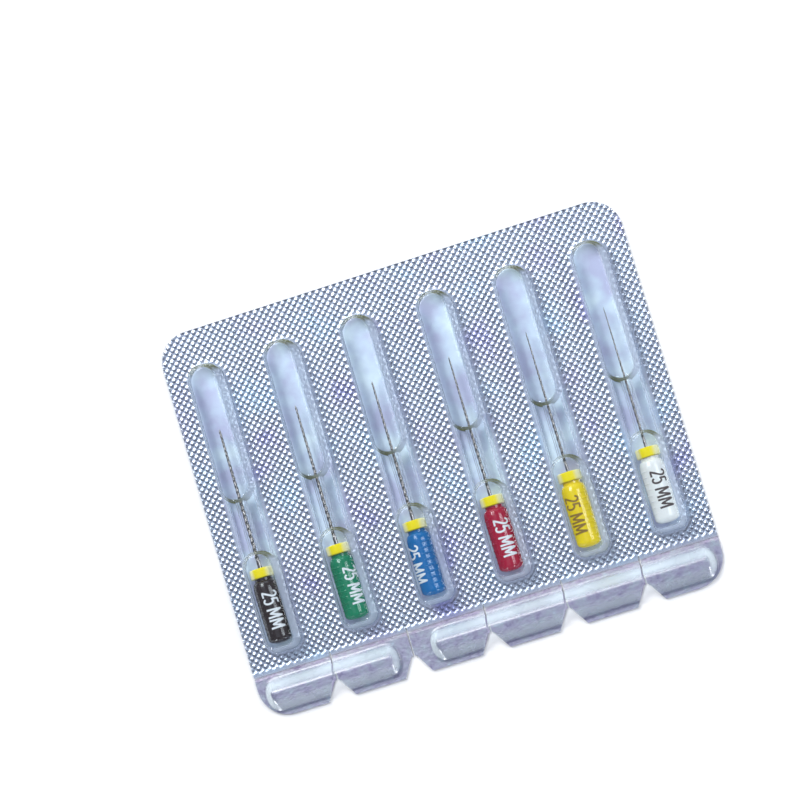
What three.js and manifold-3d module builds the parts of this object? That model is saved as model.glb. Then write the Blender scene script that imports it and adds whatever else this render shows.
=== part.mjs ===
// Sealed blister pack of six endodontic hand files, millimetres, +Z up.
// The pack lies on its label with the clear blister up. The row of cells runs along X,
// the tear-off tabs are at the -Y edge, and the origin is under the middle of the pack.
import * as THREE from 'three';
import { mergeVertices } from 'three/addons/utils/BufferGeometryUtils.js';
import Module from 'manifold-3d';

const wasm = await Module();
wasm.setup();

// ---- pack ----
const CELL_COUNT = 6;
const CELL_PITCH = 13;
const PACK_WIDTH = CELL_COUNT * CELL_PITCH;
const PACK_LENGTH = 64;
const PACK_CORNER_RADIUS = 5;
const HALF_WIDTH = PACK_WIDTH / 2;
const ARC_STEPS = 6;

// ---- layers, as heights above the surface that the pack lies on ----
const LABEL_THICKNESS = 0.1;
const FOIL_THICKNESS = 0.15;
const SHEET_THICKNESS = 0.35;
const FOIL_BOTTOM = LABEL_THICKNESS;
const FOIL_TOP = FOIL_BOTTOM + FOIL_THICKNESS;
const FLANGE_TOP = FOIL_TOP + SHEET_THICKNESS;
const CUT_BELOW = 0.1;

// ---- label ----
const LABEL_WIDTH = 71.9;
const LABEL_LENGTH = 37.7;
const LABEL_CORNER_RADIUS = 2;
const LABEL_TOP_MARGIN = 3.1;
const LABEL_SIDE_MARGIN = 2.7;

// ---- tabs: distances from the pack's tab edge ----
const CREASE_FROM_EDGE = 7.06;
const SLIT_END_FROM_EDGE = 7.8;
const TRAY_EDGE_FROM_EDGE = 7.35;
const SHELL_SETBACK = 0.5;
const FOLD_GAP = 0.05;
const SLIT_WIDTH = 0.3;
const NOTCH_MOUTH_WIDTH = 4.6;
const NOTCH_APEX_WIDTH = 0.9;
const NOTCH_DEPTH = 3.1;

// ---- hollow bulges over the tabs: where each runs along X, and its steps up in height ----
const BULGE_SIDE_MARGIN = 1;
const BULGE_GAP_LEFT = 2;
const BULGE_GAP_RIGHT = 3;
const BULGE_GAP_AT_CELL = 2;
const BULGE_END_RADIUS = 1.8;
const BULGE_OUTER_STEPS = [
  { height: FOIL_TOP, low: 0.75, high: 6.4, inset: 0 },
  { height: 1.7, low: 2.9, high: 6.25, inset: 0.4 },
  { height: 2.6, low: 4.6, high: 5.75, inset: 1.1 },
];
const BULGE_INNER_STEPS = [
  { height: FOIL_TOP - CUT_BELOW, low: 1.25, high: 6.05, inset: 0.35 },
  { height: 1.35, low: 3.1, high: 5.9, inset: 0.75 },
  { height: 2.25, low: 4.65, high: 5.4, inset: 1.4 },
];

// ---- pockets: distances from the tab edge, then the drafted wall's steps ----
const POCKET_HALF_WIDTH = 2.83;
const HANDLE_POCKET = { low: 10, high: 26.6, lowRadius: 1.7, highRadius: POCKET_HALF_WIDTH };
const TIP_POCKET = { low: 34.5, high: 58, lowRadius: POCKET_HALF_WIDTH, highRadius: POCKET_HALF_WIDTH };
const POCKET_TOP = 4.95;
const POCKET_OUTER_STEPS = [
  { height: FOIL_TOP, inset: 0 },
  { height: POCKET_TOP - 0.7, inset: 0.3 },
  { height: POCKET_TOP, inset: 0.85 },
];
const POCKET_INNER_STEPS = [
  { height: FOIL_TOP - CUT_BELOW, inset: SHEET_THICKNESS },
  { height: POCKET_TOP - SHEET_THICKNESS - 0.6, inset: SHEET_THICKNESS + 0.3 },
  { height: POCKET_TOP - SHEET_THICKNESS, inset: SHEET_THICKNESS + 0.75 },
];

// ---- shallow neck between the pockets, with a ridge over the blade ----
const NECK_LOW = 24.4;
const NECK_HIGH = 36.7;
const NECK_HALF_WIDTH = 2.5;
const NECK_TOP = 1.6;
const NECK_DRAFT = 0.15;
const RIDGE_HALF_WIDTH = 0.97;
const RIDGE_TOP_HALF_WIDTH = 0.82;
const RIDGE_TOP = 3.4;

// ---- files: distances along the file from the tab edge ----
const FILE_AXIS_HEIGHT = 2.4;
const HANDLE_START = 11.3;
const HANDLE_END = 22;
const HANDLE_RADIUS = 2.05;
const HANDLE_SHOULDER_RADIUS = 1.45;
const HANDLE_BORE_DEPTH = 8;
const HANDLE_SIDES = 16;
const TANG_CLEARANCE = 0.03;
const WORKING_LENGTH = 25;
const FLUTED_LENGTH = 21.5;
const FLUTE_COUNT = 10;
const FLUTE_ROOT_SHARE = 0.72;
const BLADE_SIDES = 8;
const TAPER_LENGTH = 16;
const TAPER_GROWTH = 0.32;
const STOP_RADIUS = 1.9;
const STOP_THICKNESS = 1.55;
const STOP_EDGE = 0.2;
const STOP_CLEARANCE = 0.04;
const STOP_GAP = 0.05;

// Size is the tip diameter in hundredths of a millimetre, in the order of the cells along +X.
const FILES = [
  { size: 40, colour: '#2b1f1e' },
  { size: 35, colour: '#008c50' },
  { size: 30, colour: '#0a5fa5' },
  { size: 25, colour: '#b5002e' },
  { size: 20, colour: '#f7d800' },
  { size: 15, colour: '#f4f0ea' },
];

// ---- small helpers ----
const alongPack = (fromEdge) => fromEdge - PACK_LENGTH / 2;
const cellCentre = (index) => (index - (CELL_COUNT - 1) / 2) * CELL_PITCH;

function part(name, geometry, colour, roughness, metalness, opacity = 1) {
  const material = new THREE.MeshStandardMaterial({ color: colour, roughness, metalness });
  material.transparent = opacity < 1;
  material.opacity = opacity;
  const mesh = new THREE.Mesh(geometry, material);
  mesh.name = name;
  return mesh;
}

const labelPaper = (name, geometry) => part(name, geometry, '#eceef0', 0.6, 0);
const lidFoil = (name, geometry) => part(name, geometry, '#b9c6cd', 0.4, 0.9);
const clearPlastic = (name, geometry) => part(name, geometry, '#d3e2ec', 0.08, 0, 0.35);
const gripPlastic = (name, geometry, colour) => part(name, geometry, colour, 0.35, 0);
const bladeSteel = (name, geometry) => part(name, geometry, '#9a9693', 0.3, 1);
const siliconeRubber = (name, geometry) => part(name, geometry, '#f7e63a', 0.5, 0);

// A rectangle with its own radius at each corner: low-x low-y first, then anticlockwise.
function roundedRectangle(x0, x1, y0, y1, radii) {
  const corners = [
    { x: x0, y: y0, turn: 1, dx: 1, dy: 1 },
    { x: x1, y: y0, turn: 1.5, dx: -1, dy: 1 },
    { x: x1, y: y1, turn: 0, dx: -1, dy: -1 },
    { x: x0, y: y1, turn: 0.5, dx: 1, dy: -1 },
  ];
  const points = [];
  corners.forEach((corner, index) => {
    const radius = radii[index];
    const centreX = corner.x + corner.dx * radius;
    const centreY = corner.y + corner.dy * radius;
    for (let step = 0; step <= ARC_STEPS; step += 1) {
      const angle = Math.PI * (corner.turn + 0.5 * step / ARC_STEPS);
      points.push(new THREE.Vector2(centreX + radius * Math.cos(angle), centreY + radius * Math.sin(angle)));
    }
  });
  return points;
}

function slab(points, bottom, top) {
  const geometry = new THREE.ExtrudeGeometry(new THREE.Shape(points), { depth: top - bottom, bevelEnabled: false });
  return geometry.translate(0, 0, bottom);
}

// A closed body through rings of the same number of points, from the lowest ring to the highest.
function loft(rings) {
  const count = rings[0].points.length;
  const positions = [];
  rings.forEach((ring) => ring.points.forEach((point) => positions.push(point.x, point.y, ring.height)));
  const faces = [];
  for (let level = 0; level + 1 < rings.length; level += 1) {
    for (let index = 0; index < count; index += 1) {
      const here = level * count + index;
      const next = level * count + (index + 1) % count;
      faces.push(here, next, next + count);
      faces.push(here, next + count, here + count);
    }
  }
  const topStart = (rings.length - 1) * count;
  THREE.ShapeUtils.triangulateShape(rings[0].points, []).forEach(([a, b, c]) => faces.push(a, c, b));
  THREE.ShapeUtils.triangulateShape(rings[rings.length - 1].points, [])
    .forEach(([a, b, c]) => faces.push(topStart + a, topStart + b, topStart + c));
  const geometry = new THREE.BufferGeometry();
  geometry.setAttribute('position', new THREE.Float32BufferAttribute(positions, 3));
  geometry.setIndex(faces);
  return geometry;
}

// ---- booleans ----
function solid(geometry) {
  const bare = geometry.clone();
  bare.deleteAttribute('normal');
  bare.deleteAttribute('uv');
  const merged = mergeVertices(bare, 1e-5);
  const vertProperties = Float32Array.from(merged.attributes.position.array);
  const triVerts = Uint32Array.from(merged.index.array);
  return new wasm.Manifold(new wasm.Mesh({ numProp: 3, vertProperties, triVerts }));
}

function fromSolid(body) {
  const mesh = body.getMesh();
  const geometry = new THREE.BufferGeometry();
  geometry.setAttribute('position', new THREE.BufferAttribute(Float32Array.from(mesh.vertProperties), 3));
  geometry.setIndex(Array.from(mesh.triVerts));
  return geometry;
}

// ---- outlines ----
// The main panel's outline, from its lower edge to the pack's far edge, with the short slits.
function panelOutline(lowerEdge) {
  const radius = PACK_CORNER_RADIUS;
  const top = alongPack(PACK_LENGTH);
  const low = alongPack(lowerEdge);
  const slitEnd = alongPack(SLIT_END_FROM_EDGE);
  const shape = new THREE.Shape();
  shape.moveTo(-HALF_WIDTH, low);
  for (let index = 1; index < CELL_COUNT; index += 1) {
    const boundary = -HALF_WIDTH + index * CELL_PITCH;
    shape.lineTo(boundary - SLIT_WIDTH / 2, low);
    shape.lineTo(boundary - SLIT_WIDTH / 2, slitEnd);
    shape.lineTo(boundary + SLIT_WIDTH / 2, slitEnd);
    shape.lineTo(boundary + SLIT_WIDTH / 2, low);
  }
  shape.lineTo(HALF_WIDTH, low);
  shape.lineTo(HALF_WIDTH, top - radius);
  shape.absarc(HALF_WIDTH - radius, top - radius, radius, 0, Math.PI / 2, false);
  shape.lineTo(-HALF_WIDTH + radius, top);
  shape.absarc(-HALF_WIDTH + radius, top - radius, radius, Math.PI / 2, Math.PI, false);
  return shape.extractPoints(ARC_STEPS).shape;
}

// One side of a tab, from the pack's tab edge up to the fold, in the order of rising height.
function tabSide(index, side, upperEdge) {
  const boundary = cellCentre(index) + side * CELL_PITCH / 2;
  const isPackSide = (side < 0 && index === 0) || (side > 0 && index === CELL_COUNT - 1);
  const points = [];
  if (isPackSide) {
    const radius = PACK_CORNER_RADIUS;
    for (let step = 0; step <= ARC_STEPS; step += 1) {
      const angle = 0.5 * Math.PI * step / ARC_STEPS;
      const x = boundary - side * radius * (1 - Math.sin(angle));
      points.push(new THREE.Vector2(x, alongPack(radius * (1 - Math.cos(angle)))));
    }
    points.push(new THREE.Vector2(boundary, alongPack(upperEdge)));
    return points;
  }
  points.push(new THREE.Vector2(boundary - side * NOTCH_MOUTH_WIDTH / 2, alongPack(0)));
  points.push(new THREE.Vector2(boundary - side * NOTCH_APEX_WIDTH / 2, alongPack(NOTCH_DEPTH)));
  points.push(new THREE.Vector2(boundary - side * SLIT_WIDTH / 2, alongPack(NOTCH_DEPTH)));
  points.push(new THREE.Vector2(boundary - side * SLIT_WIDTH / 2, alongPack(upperEdge)));
  return points;
}

function tabOutline(index, upperEdge) {
  const right = tabSide(index, 1, upperEdge);
  const left = tabSide(index, -1, upperEdge).reverse();
  return right.concat(left);
}

// ---- formed clear sheet ----
function pocketBody(pocket, steps, centreX) {
  return solid(loft(steps.map((step) => {
    const low = Math.max(pocket.lowRadius - step.inset, 0.4);
    const high = Math.max(pocket.highRadius - step.inset, 0.4);
    const half = POCKET_HALF_WIDTH - step.inset;
    const points = roundedRectangle(
      centreX - half,
      centreX + half,
      alongPack(pocket.low + step.inset),
      alongPack(pocket.high - step.inset),
      [low, low, high, high],
    );
    return { height: step.height, points };
  })));
}

function trough(centreX, bottom, top, bottomHalf, topHalf) {
  const box = (half) => [
    new THREE.Vector2(centreX - half, alongPack(NECK_LOW)),
    new THREE.Vector2(centreX + half, alongPack(NECK_LOW)),
    new THREE.Vector2(centreX + half, alongPack(NECK_HIGH)),
    new THREE.Vector2(centreX - half, alongPack(NECK_HIGH)),
  ];
  return solid(loft([{ height: bottom, points: box(bottomHalf) }, { height: top, points: box(topHalf) }]));
}

function cellOuter(centreX) {
  const neck = trough(centreX, FOIL_TOP, NECK_TOP, NECK_HALF_WIDTH, NECK_HALF_WIDTH - NECK_DRAFT);
  const ridge = trough(centreX, FOIL_TOP, RIDGE_TOP, RIDGE_HALF_WIDTH, RIDGE_TOP_HALF_WIDTH);
  return pocketBody(HANDLE_POCKET, POCKET_OUTER_STEPS, centreX)
    .add(pocketBody(TIP_POCKET, POCKET_OUTER_STEPS, centreX))
    .add(neck)
    .add(ridge);
}

function cellInner(centreX) {
  const bottom = FOIL_TOP - CUT_BELOW;
  const wall = SHEET_THICKNESS;
  const neckHalf = NECK_HALF_WIDTH - wall;
  const neck = trough(centreX, bottom, NECK_TOP - wall, neckHalf, neckHalf - NECK_DRAFT);
  const ridge = trough(centreX, bottom, RIDGE_TOP - wall, RIDGE_HALF_WIDTH - wall, RIDGE_TOP_HALF_WIDTH - wall);
  return pocketBody(HANDLE_POCKET, POCKET_INNER_STEPS, centreX)
    .add(pocketBody(TIP_POCKET, POCKET_INNER_STEPS, centreX))
    .add(neck)
    .add(ridge);
}

function trayGeometry() {
  let body = solid(slab(panelOutline(TRAY_EDGE_FROM_EDGE), FOIL_TOP, FLANGE_TOP));
  for (let index = 0; index < CELL_COUNT; index += 1) {
    body = body.add(cellOuter(cellCentre(index)));
  }
  for (let index = 0; index < CELL_COUNT; index += 1) {
    body = body.subtract(cellInner(cellCentre(index)));
  }
  return fromSolid(body);
}

function bulgeBody(x0, x1, steps) {
  return solid(loft(steps.map((step) => {
    const low = alongPack(step.low);
    const high = alongPack(step.high);
    const radius = Math.min(BULGE_END_RADIUS, (high - low) / 2 - 0.05);
    const points = roundedRectangle(x0 + step.inset, x1 - step.inset, low, high, [radius, radius, radius, radius]);
    return { height: step.height, points };
  })));
}

function bulges(steps) {
  const gapCentre = -HALF_WIDTH + BULGE_GAP_AT_CELL * CELL_PITCH;
  const left = bulgeBody(-HALF_WIDTH + BULGE_SIDE_MARGIN, gapCentre - BULGE_GAP_LEFT, steps);
  const right = bulgeBody(gapCentre + BULGE_GAP_RIGHT, HALF_WIDTH - BULGE_SIDE_MARGIN, steps);
  return left.add(right);
}

function tabShellGeometry(index) {
  const outline = tabOutline(index, CREASE_FROM_EDGE - SHELL_SETBACK);
  const flange = solid(slab(outline, FOIL_TOP, FLANGE_TOP));
  const column = solid(slab(outline, FOIL_TOP - CUT_BELOW, POCKET_TOP));
  const raised = bulges(BULGE_OUTER_STEPS).intersect(column);
  return fromSolid(flange.add(raised).subtract(bulges(BULGE_INNER_STEPS)));
}

// ---- files ----
const radiusAtShaft = (size) => (size / 100 + TAPER_GROWTH) / 2;

function handleGeometry(size) {
  const length = HANDLE_END - HANDLE_START;
  const bore = radiusAtShaft(size) + TANG_CLEARANCE;
  const profile = [
    [0, 0],
    [1.2, 0],
    [1.7, 0.3],
    [1.95, 0.9],
    [HANDLE_RADIUS, 1.8],
    [HANDLE_RADIUS, length - 2.6],
    [1.9, length - 1.7],
    [HANDLE_SHOULDER_RADIUS, length - 0.8],
    [HANDLE_SHOULDER_RADIUS, length],
    [bore, length],
    [bore, length - HANDLE_BORE_DEPTH],
    [0, length - HANDLE_BORE_DEPTH],
  ];
  return new THREE.LatheGeometry(profile.map(([x, y]) => new THREE.Vector2(x, y)), HANDLE_SIDES);
}

// The radius of the working part at a distance from the tip.
function bladeRadius(size, fromTip) {
  return (size / 100 + TAPER_GROWTH * Math.min(fromTip / TAPER_LENGTH, 1)) / 2;
}

function bladeGeometry(size) {
  const shaft = radiusAtShaft(size);
  const tangStart = -HANDLE_BORE_DEPTH + STOP_GAP;
  const profile = [
    [0, tangStart],
    [shaft, tangStart],
    [shaft, WORKING_LENGTH - FLUTED_LENGTH],
  ];
  const pitch = FLUTED_LENGTH / FLUTE_COUNT;
  for (let flute = 0; flute < FLUTE_COUNT; flute += 1) {
    const start = WORKING_LENGTH - FLUTED_LENGTH + flute * pitch;
    const startRadius = bladeRadius(size, WORKING_LENGTH - start);
    profile.push([startRadius * FLUTE_ROOT_SHARE, start + 0.1 * pitch]);
    if (flute + 1 < FLUTE_COUNT) {
      profile.push([bladeRadius(size, WORKING_LENGTH - start - pitch), start + pitch]);
    }
  }
  profile.push([0, WORKING_LENGTH]);
  return new THREE.LatheGeometry(profile.map(([x, y]) => new THREE.Vector2(x, y)), BLADE_SIDES);
}

function stopGeometry(size) {
  const hole = radiusAtShaft(size) + STOP_CLEARANCE;
  const profile = [
    [hole, 0],
    [STOP_RADIUS - STOP_EDGE, 0],
    [STOP_RADIUS, STOP_EDGE],
    [STOP_RADIUS, STOP_THICKNESS - STOP_EDGE],
    [STOP_RADIUS - STOP_EDGE, STOP_THICKNESS],
    [hole, STOP_THICKNESS],
    [hole, 0],
  ];
  return new THREE.LatheGeometry(profile.map(([x, y]) => new THREE.Vector2(x, y)), HANDLE_SIDES);
}

function buildFile(index) {
  const { size, colour } = FILES[index];
  const file = new THREE.Group();
  const handle = gripPlastic(`handle_${size}`, handleGeometry(size), colour);
  handle.position.y = alongPack(HANDLE_START);
  const blade = bladeSteel(`blade_${size}`, bladeGeometry(size));
  blade.position.y = alongPack(HANDLE_END);
  const stop = siliconeRubber(`stop_${size}`, stopGeometry(size));
  stop.position.y = alongPack(HANDLE_END + STOP_GAP);
  file.add(handle, blade, stop);
  file.position.set(cellCentre(index), 0, FILE_AXIS_HEIGHT);
  return file;
}

// ---- assembly ----
function buildLabel() {
  const x1 = HALF_WIDTH - LABEL_SIDE_MARGIN;
  const y1 = alongPack(PACK_LENGTH - LABEL_TOP_MARGIN);
  const radii = [LABEL_CORNER_RADIUS, LABEL_CORNER_RADIUS, LABEL_CORNER_RADIUS, LABEL_CORNER_RADIUS];
  const points = roundedRectangle(x1 - LABEL_WIDTH, x1, y1 - LABEL_LENGTH, y1, radii);
  return labelPaper('label', slab(points, 0, LABEL_THICKNESS));
}

function buildTab(index) {
  const tab = new THREE.Group();
  tab.add(clearPlastic(`tab_shell_${index + 1}`, tabShellGeometry(index)));
  const foil = slab(tabOutline(index, CREASE_FROM_EDGE - FOLD_GAP), FOIL_BOTTOM, FOIL_TOP);
  tab.add(lidFoil(`tab_foil_${index + 1}`, foil));
  return tab;
}

const pack = new THREE.Group();
pack.add(buildLabel());
pack.add(lidFoil('lid_foil', slab(panelOutline(CREASE_FROM_EDGE + FOLD_GAP), FOIL_BOTTOM, FOIL_TOP)));
pack.add(clearPlastic('blister_tray', trayGeometry()));
for (let index = 0; index < CELL_COUNT; index += 1) {
  pack.add(buildTab(index));
  pack.add(buildFile(index));
}

export default pack;
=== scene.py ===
"""Looks of a sealed blister pack of endodontic hand files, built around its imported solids.

The pack lies on its label. X runs along the row of cells, the tear-off tabs are at the -Y edge
and Z is up, out of the clear blister. Lengths inside this file are in millimetres unless a
property says otherwise, and MM turns them into Blender's metres.
"""

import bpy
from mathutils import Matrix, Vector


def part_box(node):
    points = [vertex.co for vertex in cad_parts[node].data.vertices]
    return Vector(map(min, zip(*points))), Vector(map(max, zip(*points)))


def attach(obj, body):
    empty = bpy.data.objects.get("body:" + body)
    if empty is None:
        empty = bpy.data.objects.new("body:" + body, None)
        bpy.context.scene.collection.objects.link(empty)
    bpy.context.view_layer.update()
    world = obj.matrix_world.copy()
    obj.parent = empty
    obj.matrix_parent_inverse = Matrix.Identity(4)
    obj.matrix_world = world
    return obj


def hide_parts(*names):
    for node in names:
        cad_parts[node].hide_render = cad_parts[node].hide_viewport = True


bl_info = {
    "name": "Endodontic File Pack",
    "version": (1, 0, 0),
    "blender": (4, 5, 0),
    "location": "View3D > Sidebar > File Pack",
    "description": "Adds a clear blister pack with a foil lid and its colour-coded root canal files",
    "category": "Add Mesh",
}

import math

import bpy
import numpy as np
from mathutils import Matrix, Vector

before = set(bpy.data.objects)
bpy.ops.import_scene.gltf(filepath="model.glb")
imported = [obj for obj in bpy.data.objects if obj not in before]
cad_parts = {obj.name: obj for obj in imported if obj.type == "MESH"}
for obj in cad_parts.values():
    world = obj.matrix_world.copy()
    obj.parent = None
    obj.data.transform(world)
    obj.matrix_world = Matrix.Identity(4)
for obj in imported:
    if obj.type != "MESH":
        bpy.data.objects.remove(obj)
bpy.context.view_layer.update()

MM = 0.001
SIZES = (40, 35, 30, 25, 20, 15)


def box_mm(node):
    """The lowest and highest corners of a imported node, in millimetres."""
    low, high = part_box(node)
    return np.array(low) / MM, np.array(high) / MM


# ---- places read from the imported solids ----
LID_LOW, LID_HIGH = box_mm("lid_foil")
LABEL_LOW, LABEL_HIGH = box_mm("label")
PACK_LEFT, PACK_RIGHT = LID_LOW[0], LID_HIGH[0]
PACK_FAR = LID_HIGH[1]
PACK_NEAR = box_mm("tab_foil_1")[0][1]
FOIL_BOTTOM, FOIL_TOP = LID_LOW[2], LID_HIGH[2]
TRAY_TOP = box_mm("blister_tray")[1][2]
CELLS = len(SIZES)
PITCH = (PACK_RIGHT - PACK_LEFT) / CELLS


def along(from_edge):
    """A distance from the tab edge as a place along Y."""
    return PACK_NEAR + from_edge


def cell_x(index):
    return PACK_LEFT + (index + 0.5) * PITCH


# ---- shape of the formed sheet, as distances from the tab edge ----
SHEET = 0.35
FLANGE_TOP = FOIL_TOP + SHEET
FLANGE_BOTTOM = FLANGE_TOP - 0.16
CORNER_RADIUS = 5.0
CREASE = 7.06
FOLD_GAP = 0.03
SHELL_EDGE = 6.56
TRAY_EDGE = 7.35
KNURL_EDGE = 7.8
SLIT_WIDTH = 0.3
NOTCH_MOUTH, NOTCH_APEX, NOTCH_DEPTH = 4.6, 0.9, 3.1
POCKET_HALF = 2.83
HANDLE_POCKET = dict(low=10.0, high=26.6, low_radius=1.7, high_radius=POCKET_HALF)
TIP_POCKET = dict(low=34.5, high=58.0, low_radius=POCKET_HALF, high_radius=POCKET_HALF)
NECK_LOW, NECK_HIGH = 24.6, 36.5
NECK_HALF, NECK_TOP = 2.5, 1.6
RIDGE_HALF = 0.88
AXIS_HEIGHT = 2.4


# ---- settings that a user would change ----
def length_property(name, description, default, least, most):
    """A length in metres, kept between the least and the most that the model can be built with."""
    return bpy.props.FloatProperty(
        name=name, description=description, default=default, min=least, max=most, precision=5, unit="LENGTH"
    )


def colour_property(name, description, default):
    return bpy.props.FloatVectorProperty(
        name=name, description=description, default=default, size=3, subtype="COLOR", min=0.0, max=1.0
    )


class ENDO_PG_sizes(bpy.types.PropertyGroup):
    knurl_period: length_property(
        "Knurl Period", "Distance between two knurl points along a row", PITCH / 11 * MM, 0.0005, 0.003
    )
    knurl_height: length_property(
        "Knurl Height", "Height of the knurl points above the gaps between them", 0.00019, 0.0, 0.0003
    )
    flute_pitch_tip: length_property(
        "Flute Pitch at the Tip", "Length of one spiral turn at the blade's tip", 0.0007, 0.0003, 0.003
    )
    flute_pitch_shaft: length_property(
        "Flute Pitch at the Shaft", "Length of one spiral turn at the thick end", 0.00125, 0.0003, 0.003
    )
    legend_height: length_property(
        "Legend Height", "Height of the length mark's figures round the grip", 0.0024, 0.0005, 0.003
    )


class ENDO_PG_colours(bpy.types.PropertyGroup):
    grip_40: colour_property("Grip 40", "Grip of the size 40 file", (0.022, 0.012, 0.011))
    grip_35: colour_property("Grip 35", "Grip of the size 35 file", (0.0, 0.22, 0.10))
    grip_30: colour_property("Grip 30", "Grip of the size 30 file", (0.0, 0.15, 0.42))
    grip_25: colour_property("Grip 25", "Grip of the size 25 file", (0.42, 0.0, 0.03))
    grip_20: colour_property("Grip 20", "Grip of the size 20 file", (1.0, 0.70, 0.0))
    grip_15: colour_property("Grip 15", "Grip of the size 15 file", (0.95, 0.93, 0.88))
    stop: colour_property("Stop", "Silicone of the stops", (1.0, 0.80, 0.0))
    foil: colour_property("Foil", "Lidding foil", (0.64, 0.67, 0.76))
    satin: colour_property("Satin Foil", "Outer side of the foil", (0.70, 0.75, 0.80))
    film: colour_property("Film", "Clear blister film", (0.95, 0.975, 0.99))
    # Painted olive shade and reflection for the film of a steep end wall seen edge on.
    wall_tint: colour_property("Wall Tint", "Film of a steep end wall seen edge on", (0.34, 0.36, 0.14))


# ---- node helpers ----
class Nodes:
    """A small writer for a material's node tree."""

    def __init__(self, name):
        self.material = bpy.data.materials.new(name)
        self.material.use_nodes = True
        self.tree = self.material.node_tree
        self.tree.nodes.clear()
        self.output = self.add("ShaderNodeOutputMaterial")

    def add(self, kind, **values):
        node = self.tree.nodes.new(kind)
        for name, value in values.items():
            setattr(node, name, value)
        return node

    def link(self, source, target):
        self.tree.links.new(source, target)

    def value(self, node, **inputs):
        for name, value in inputs.items():
            node.inputs[name.replace("_", " ")].default_value = value
        return node

    def place(self, output="Object"):
        return self.add("ShaderNodeTexCoord").outputs[output]

    def attribute(self, name):
        return self.add("ShaderNodeAttribute", attribute_name=name, attribute_type="GEOMETRY").outputs["Fac"]

    def noise(self, scale, detail=3.0, roughness=0.5, stretch=None):
        noise = self.value(self.add("ShaderNodeTexNoise"), Scale=scale, Detail=detail, Roughness=roughness)
        source = self.place()
        if stretch is not None:
            mapping = self.value(self.add("ShaderNodeMapping"), Scale=stretch)
            self.link(source, mapping.inputs["Vector"])
            source = mapping.outputs["Vector"]
        self.link(source, noise.inputs["Vector"])
        return noise.outputs["Fac"]

    def ramp(self, source, stops):
        ramp = self.add("ShaderNodeValToRGB")
        elements = ramp.color_ramp.elements
        while len(elements) < len(stops):
            elements.new(0.5)
        for element, (position, colour) in zip(elements, stops):
            element.position = position
            element.color = (*colour, 1.0)
        self.link(source, ramp.inputs["Fac"])
        return ramp.outputs["Color"]

    def fade(self, source, low, high, first=0.0, last=1.0):
        """source as a share that goes from first at low to last at high, and stays there."""
        return self.ramp(source, [(low, (first,) * 3), (high, (last,) * 3)])

    def spread(self, source, low, high):
        """source from 0 to 1 as a value from low to high."""
        node = self.value(self.add("ShaderNodeMapRange"), To_Min=low, To_Max=high)
        self.link(source, node.inputs["Value"])
        return node.outputs["Result"]

    def mix(self, factor, first, second):
        node = self.add("ShaderNodeMix", data_type="RGBA")
        for name, value in (("Factor", factor), ("A", first), ("B", second)):
            if isinstance(value, bpy.types.NodeSocket):
                self.link(value, node.inputs[name])
            else:
                node.inputs[name].default_value = (*value, 1.0)
        return node.outputs["Result"]

    def math(self, operation, *values):
        node = self.add("ShaderNodeMath", operation=operation)
        for socket, value in zip(node.inputs, values):
            if isinstance(value, float):
                socket.default_value = value
            else:
                self.link(value, socket)
        return node.outputs["Value"]

    def blend(self, factor, first, second):
        """One shader turning into another."""
        node = self.add("ShaderNodeMixShader")
        if isinstance(factor, float):
            node.inputs["Fac"].default_value = factor
        else:
            self.link(factor, node.inputs["Fac"])
        self.link(first, node.inputs[1])
        self.link(second, node.inputs[2])
        return node.outputs["Shader"]

    def shader(self, kind, **sources):
        """A plain shader with its inputs linked."""
        node = self.add(kind)
        for name, source in sources.items():
            self.link(source, node.inputs[name])
        return node.outputs["BSDF"]

    def bump(self, height, strength, distance):
        node = self.value(self.add("ShaderNodeBump"), Strength=strength, Distance=distance)
        self.link(height, node.inputs["Height"])
        return node.outputs["Normal"]

    def principled(self, colour, roughness, normal=None, **inputs):
        """Makes the whole surface, and gives back the material."""
        node = self.value(self.add("ShaderNodeBsdfPrincipled"), **inputs)
        for name, source in (("Base Color", colour), ("Roughness", roughness), ("Normal", normal)):
            if source is not None:
                self.link(source, node.inputs[name])
        self.link(node.outputs["BSDF"], self.output.inputs["Surface"])
        return self.material


def shade(colour, factor):
    return tuple(min(1.0, channel * factor) for channel in colour)


# ---- mesh helpers ----
def mesh_object(name, points, faces):
    """A new mesh object from points in millimetres."""
    mesh = bpy.data.meshes.new(name)
    mesh.from_pydata((np.asarray(points, float) * MM).tolist(), [], faces)
    mesh.update()
    piece = bpy.data.objects.new(name, mesh)
    bpy.context.scene.collection.objects.link(piece)
    return piece


def make_object(name, points, faces, material, body, slot, replaced=(), smooth=True):
    """A mesh object that rides on a body of the frame."""
    piece = mesh_object(name, points, faces)
    piece.data.validate()
    if smooth:
        piece.data.shade_smooth()
    piece.data.materials.append(material)
    finish_piece(piece, body, slot, replaced)
    return piece


def finish_piece(piece, body, slot, replaced=()):
    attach(piece, body)
    if replaced:
        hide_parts(*replaced)


def soften(piece, degrees):
    """Smooth shading with sharp edges kept where faces meet at more than an angle."""
    mesh = piece.data
    mesh.shade_smooth()
    mesh.set_sharp_from_angle(angle=math.radians(degrees))
    mesh.update()


def store(mesh, name, domain, values):
    """Keeps a number for each point or face, for the finish to read."""
    mesh.attributes.new(name, "FLOAT", domain).data.foreach_set("value", values.astype(np.float32))


def smoothstep(value, low, high):
    share = np.clip((value - low) / (high - low), 0.0, 1.0)
    return share * share * (3 - 2 * share)


def arc(centre, radius, start, end, steps=14):
    """Points on an arc, angles in degrees. A pair of radii makes an oval."""
    wide, high = radius if isinstance(radius, tuple) else (radius, radius)
    angles = np.radians(np.linspace(start, end, steps + 1))
    return [(centre[0] + wide * math.cos(a), centre[1] + high * math.sin(a)) for a in angles]


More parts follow.
